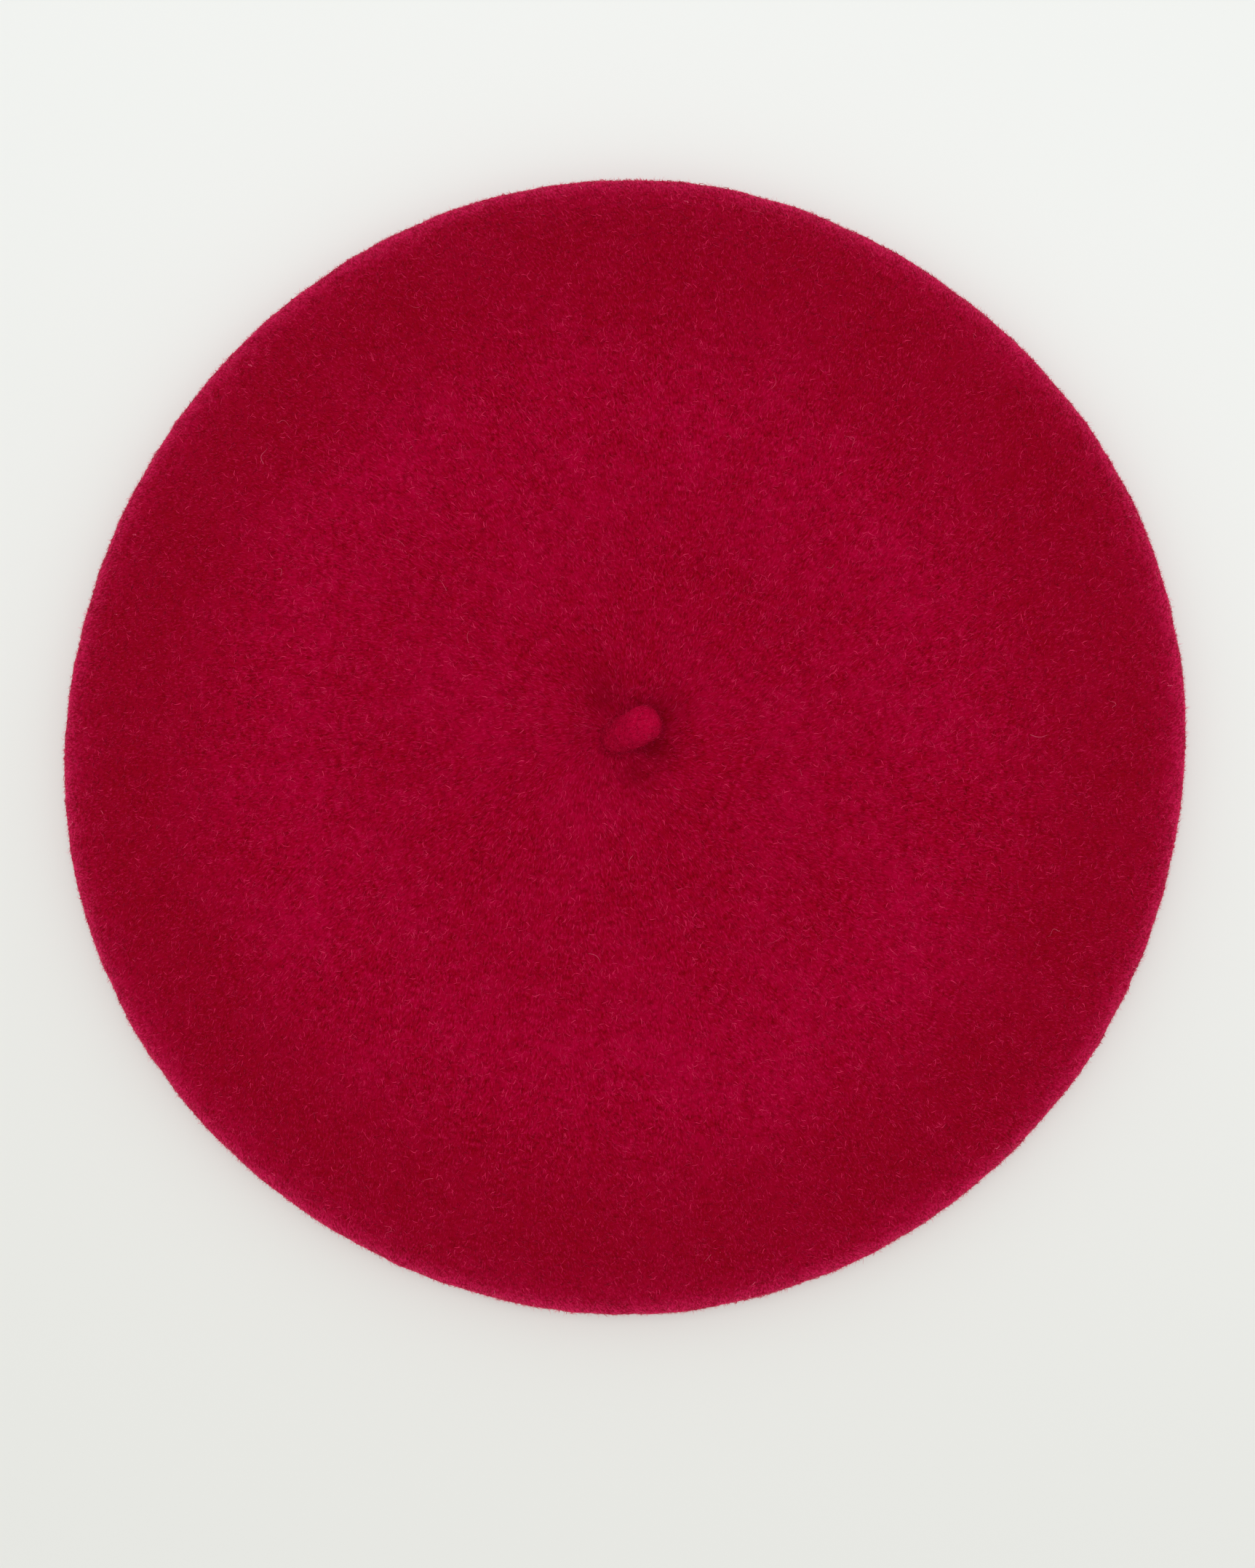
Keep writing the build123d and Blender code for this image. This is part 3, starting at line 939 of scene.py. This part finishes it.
# Stitches of two-ply thread, each dipping into the cloth at its ends
thread = {
    "colour": paint(138, 8, 34),
    "light": paint(168, 40, 66),
    "labelColour": paint(206, 200, 190),
    "labelLight": paint(226, 222, 214),
    "fluff": 0.16 * mm,
    "tint": 3 * mm,
    "relief": 0.04 * mm,
    "sides": 8,
    "rings": 9,
    "plyDepth": 0.24,
    "twistTurns": 1.6,
    # each kind of stitch: the CAD node, its length and radius, the radius of the face that it lies on,
    # whether it stands upright, and its slot
    "rows": {
        "row_stitches": ("sweatband_stitches", 3.0 * mm, 0.21 * mm, bandFace, False, "thread"),
        "back_seam": ("seam_stitches", 3.2 * mm, 0.21 * mm, bandFace, False, "thread"),
        "label_sewing": ("label_stitches", 1.7 * mm, 0.1 * mm, labelFace, True, "label_thread"),
    },
}


def threadFinish(name, colour, light):
    finish = Finish(name)
    where = finish.place()
    fluff = finish.grain(where, thread["fluff"], 2.0)
    tint = finish.grain(where, thread["tint"], 2.0)
    return finish.surface(
        Base_Color=finish.mixed((fluff * 0.7 + tint * 0.5).rise(0.45, 0.85), colour, light),
        Roughness=0.55,
        Specular_IOR_Level=0.3,
        Sheen_Weight=0.15,
        Normal=finish.bump(fluff, thread["relief"]),
    )


def islands(node):
    # the middle of each separate solid of a CAD node
    bm = bmesh.new()
    bm.from_mesh(frame["nodes"][node].data)
    bmesh.ops.remove_doubles(bm, verts=bm.verts, dist=0.002 * mm)
    left = set(bm.verts)
    middles = []
    while left:
        group = [left.pop()]
        for vertex in group:
            for edge in vertex.link_edges:
                other = edge.other_vert(vertex)
                if other in left:
                    left.discard(other)
                    group.append(other)
        corners = [[pick(vertex.co[axis] for vertex in group) for axis in range(3)] for pick in (min, max)]
        middles.append((Vector(corners[0]) + Vector(corners[1])) / 2)
    bm.free()
    return sorted(middles, key=lambda middle: (round(middle.z, 5), math.atan2(middle.y, middle.x)))


def stitchShape(length, radius):
    # one stitch along X, on a face that looks up Z
    bm = bmesh.new()
    bmesh.ops.create_grid(bm, x_segments=thread["rings"], y_segments=thread["sides"], size=0.5)
    for vertex in bm.verts:
        along, angle = vertex.co.x, math.tau * vertex.co.y
        dip = (2 * along) ** 6
        twist = angle - along * math.tau * thread["twistTurns"]
        thick = radius * (1 + thread["plyDepth"] * math.cos(2 * twist)) * (1 - 0.35 * dip)
        middle = radius * (0.5 - 1.6 * dip)
        vertex.co = (along * length, thick * math.cos(angle), middle + thick * math.sin(angle))
    bmesh.ops.remove_doubles(bm, verts=bm.verts, dist=radius / 50)
    bmesh.ops.holes_fill(bm, edges=bm.edges)
    bmesh.ops.recalc_face_normals(bm, faces=bm.faces)
    shape = bpy.data.meshes.new("stitch")
    bm.to_mesh(shape)
    bm.free()
    return shape


def makeStitches(name, material):
    node, length, radius, face, upright, slot = thread["rows"][name]
    rolls = random.Random(len(name))
    shape = stitchShape(length, radius)
    bm = bmesh.new()
    for middle in islands(node):
        spoke = Vector((middle.x, middle.y, 0)).normalized()
        up = Vector((0, 0, 1))
        along = up if upright else up.cross(spoke)
        across = (-spoke).cross(along)
        turn = Matrix((along, across, -spoke)).transposed().to_4x4()
        slant = Matrix.Rotation(rolls.uniform(-0.05, 0.05), 4, "Z")
        place = Matrix.Translation(spoke * face + Vector((0, 0, middle.z))) @ turn @ slant
        before = len(bm.verts)
        bm.from_mesh(shape)
        bm.verts.ensure_lookup_table()
        bmesh.ops.transform(bm, matrix=place, verts=bm.verts[before:])
    bpy.data.meshes.remove(shape)
    piece = finished(bm, name, material)
    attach(piece, "crown")
    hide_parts(node)
    print(name, "made with", len(piece.data.polygons), "faces")


# The label: blank satin tape, sewn down at its ends and bowed a little between them
label = {
    "colour": paint(214, 209, 199),
    "shade": paint(188, 182, 170),
    "thickness": 0.16 * mm,
    "width": 24 * mm,
    "height": 11.6 * mm,
    "middleAngle": -67.08,        # degrees round from +X
    "hem": 2.6 * mm,
    "bow": 0.45 * mm,
    "warp": 0.16 * mm,
    "weft": 0.22 * mm,
    "floats": 0.3 * mm,
    "relief": 0.04 * mm,
}


def labelFinish(name):
    finish = Finish(name)
    where = finish.place()
    along = finish.bearing(where) * bandFace
    height = finish.part(where, "Z")
    warp = along.math("SINE", along * (math.tau / label["warp"]))
    weft = height.math("SINE", height * (math.tau / label["weft"]))
    floats = finish.grain(finish.joined(along / 3, height), label["floats"], 2.0)
    shine = (warp * 0.2 + weft * 0.3 + floats).rise(0.2, 0.9)
    colour = finish.mixed(shine, label["shade"], label["colour"])
    return finish.surface(
        Base_Color=colour,
        Roughness=0.45 + floats * 0.2,
        Specular_IOR_Level=0.35,
        Sheen_Weight=0.15,
        Normal=finish.bump(warp * 0.3 + weft * 0.4 + floats * 0.5, label["relief"]),
    )


def makeLabel():
    middle = (bandBox[0].z + bandBox[1].z) / 2
    bm = bmesh.new()
    bmesh.ops.create_grid(bm, x_segments=64, y_segments=16, size=0.5)
    for vertex in bm.verts:
        share, up = vertex.co.x, vertex.co.y
        fromEnd = (0.5 - abs(share)) * label["width"]
        bowed = label["bow"] * ease(fromEnd, label["hem"], label["hem"] + 5 * mm)
        fold = -0.1 * mm * ease(fromEnd, label["hem"] + 0.3 * mm, label["hem"] - 0.3 * mm)
        fray = noise.noise(Vector((share * 24, up * 9, 4))) * 0.05 * mm
        radius = labelFace - bowed + fold + fray + 0.04 * mm
        angle = math.radians(label["middleAngle"]) + share * label["width"] / bandFace
        edge = noise.noise(Vector((share * 30, 1.5, up))) * 0.08 * mm
        height = middle + up * label["height"] + edge
        vertex.co = (radius * math.cos(angle), radius * math.sin(angle), height)
    bmesh.ops.recalc_face_normals(bm, faces=bm.faces)
    bmesh.ops.solidify(bm, geom=bm.faces[:], thickness=label["thickness"])
    # the new side faces come in no fixed order, so they get one
    bm.faces.sort(key=lambda face: face.calc_center_median().dot((7, 11, 13)))
    bmesh.ops.recalc_face_normals(bm, faces=bm.faces)
    piece = finished(bm, "satin_label", labelFinish("label satin"))
    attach(piece, "crown")
    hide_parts("care_label")
    print("label made with", len(piece.data.polygons), "faces")


# The stalk's end, felted out flat inside the crown and tacked down
button = {
    # radius and height below the felt over it
    "outline": ((0.0, 0.95), (1.6, 1.02), (3.2, 1.0), (4.6, 0.9), (5.3, 0.7), (5.65, 0.4), (5.75, 0.1),
                (5.6, -0.3)),
    "thickness": 1.0 * mm,
    "steps": 64,
    "lump": 0.12 * mm,
}


def makeButton():
    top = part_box("stalk_tail")[0].z + button["thickness"]
    marks = [Vector((radius * mm, top - depth * mm)) for radius, depth in button["outline"]]
    outline = []
    for before, after in zip(marks, marks[1:]):
        outline += straight(before, after, 3)
    outline.append(marks[-1])
    layers = {"napRun": [stalkRun + point.x for point in outline]}
    bm = turned(outline, button["steps"], layers)
    for vertex in bm.verts:
        lump = noise.noise(vertex.co / (1.4 * mm)) + 0.6 * noise.noise(vertex.co / (0.6 * mm))
        radius = math.hypot(vertex.co.x, vertex.co.y)
        vertex.co.z += lump * button["lump"] * (1 - ease(radius, 5.2 * mm, 5.7 * mm))
        vertex.co.x *= 1 + lump * 0.03
        vertex.co.y *= 1 + lump * 0.03
    piece = finished(bm, "stalk_button", stalkFinish("button felt"))
    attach(piece, "crown")
    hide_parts("stalk_tail")
    print("button made with", len(piece.data.polygons), "faces")


# The elastic's own solid keeps its shape and gets a braid
elastic = {
    "shade": paint(186, 182, 174),
    "colour": paint(228, 226, 220),
    "radius": 81 * mm,
    "braid": 0.9 * mm,
    "cord": 0.8 * mm,
    "fluff": 0.2 * mm,
    "relief": 0.12 * mm,
}


def elasticFinish(name):
    finish = Finish(name)
    where = finish.place()
    along = finish.bearing(where) * elastic["radius"]
    height = finish.part(where, "Z")
    braid = along.math("SINE", along * (math.tau / elastic["braid"]))
    weave = braid * height.math("SINE", height * (math.tau / elastic["cord"]))
    fluff = finish.grain(where, elastic["fluff"], 2.0)
    return finish.surface(
        Base_Color=finish.mixed((weave * 0.3 + fluff).rise(0.2, 0.9), elastic["shade"], elastic["colour"]),
        Roughness=0.7,
        Specular_IOR_Level=0.3,
        Normal=finish.bump(weave * 0.6 + fluff * 0.3, elastic["relief"]),
    )


def dress(node, material):
    # a CAD node that keeps its shape
    mesh = frame["nodes"][node].data
    mesh.materials.clear()
    mesh.materials.append(material)


def makeSewing():
    red = threadFinish("red thread", thread["colour"], thread["light"])
    white = threadFinish("label thread", thread["labelColour"], thread["labelLight"])
    makeStitches("row_stitches", red)
    makeStitches("back_seam", red)
    makeStitches("label_sewing", white)
    dress("stalk_tacks", red)
    dress("elastic_stitches", white)
    dress("elastic_tape", elasticFinish("braided elastic"))


# The picture's view, the table and the light
room = {
    "cameraHeight": 420 * mm,
    "over": (2.3 * mm, -11.5 * mm),
    "viewHeight": 405.5 * mm,      # how much of the rim's level the picture's long side takes in
    "rimLevel": 9 * mm,
    # painted shade: the table is painted darker towards the near side, as the light falls off there
    "tableFarLit": paint(240, 242, 239),
    "tableNearShaded": paint(231, 232, 227),
    "tableTurn": (-260 * mm, 240 * mm),     # where the near shade ends and the far one begins
    "tableReach": 4,
    "skyStrength": 0.7,
    "lampPower": 6.4,
    "lampSize": 0.9,
    "lampPlace": (0.0, 0.12, 1.3),
}


def makeRoom():
    camera = bpy.data.cameras.new("camera")
    reach = room["cameraHeight"] - room["rimLevel"]
    camera.lens = camera.sensor_width * reach / room["viewHeight"]
    eye = bpy.data.objects.new("camera", camera)
    eye.location = (*room["over"], room["cameraHeight"])
    bpy.context.scene.collection.objects.link(eye)
    bpy.context.scene.camera = eye

    bm = bmesh.new()
    bmesh.ops.create_grid(bm, x_segments=1, y_segments=1, size=room["tableReach"])
    finish = Finish("table top")
    where = finish.place()
    depth = finish.part(where, "Y") + finish.part(where, "X") * 0.3
    # painted shade, darker towards the near side
    shade = finish.mixed(depth.rise(*room["tableTurn"]), room["tableNearShaded"], room["tableFarLit"])
    finish.surface(Base_Color=shade, Roughness=0.7, Specular_IOR_Level=0.2)
    finished(bm, "table", finish.material)

    world = bpy.data.worlds.new("sky")
    world.use_nodes = True
    sky = world.node_tree.nodes["Background"]
    sky.inputs["Color"].default_value = (1, 1, 1, 1)
    sky.inputs["Strength"].default_value = room["skyStrength"]
    bpy.context.scene.world = world

    light = bpy.data.lights.new("window", "AREA")
    light.size = room["lampSize"]
    light.energy = room["lampPower"]
    lamp = bpy.data.objects.new("window", light)
    lamp.location = room["lampPlace"]
    lamp.rotation_mode = "QUATERNION"
    lamp.rotation_quaternion = (-Vector(room["lampPlace"])).to_track_quat("-Z", "Y")
    bpy.context.scene.collection.objects.link(lamp)
    bpy.context.scene.view_settings.view_transform = "Standard"
    print("room made: camera, table, sky and lamp")


makeRoom()
crownPiece = makeCrown()
stalkPiece = makeStalk()
makeNap(crownPiece, stalkPiece)
makeRibbon()
makeLabel()
makeSewing()
makeButton()
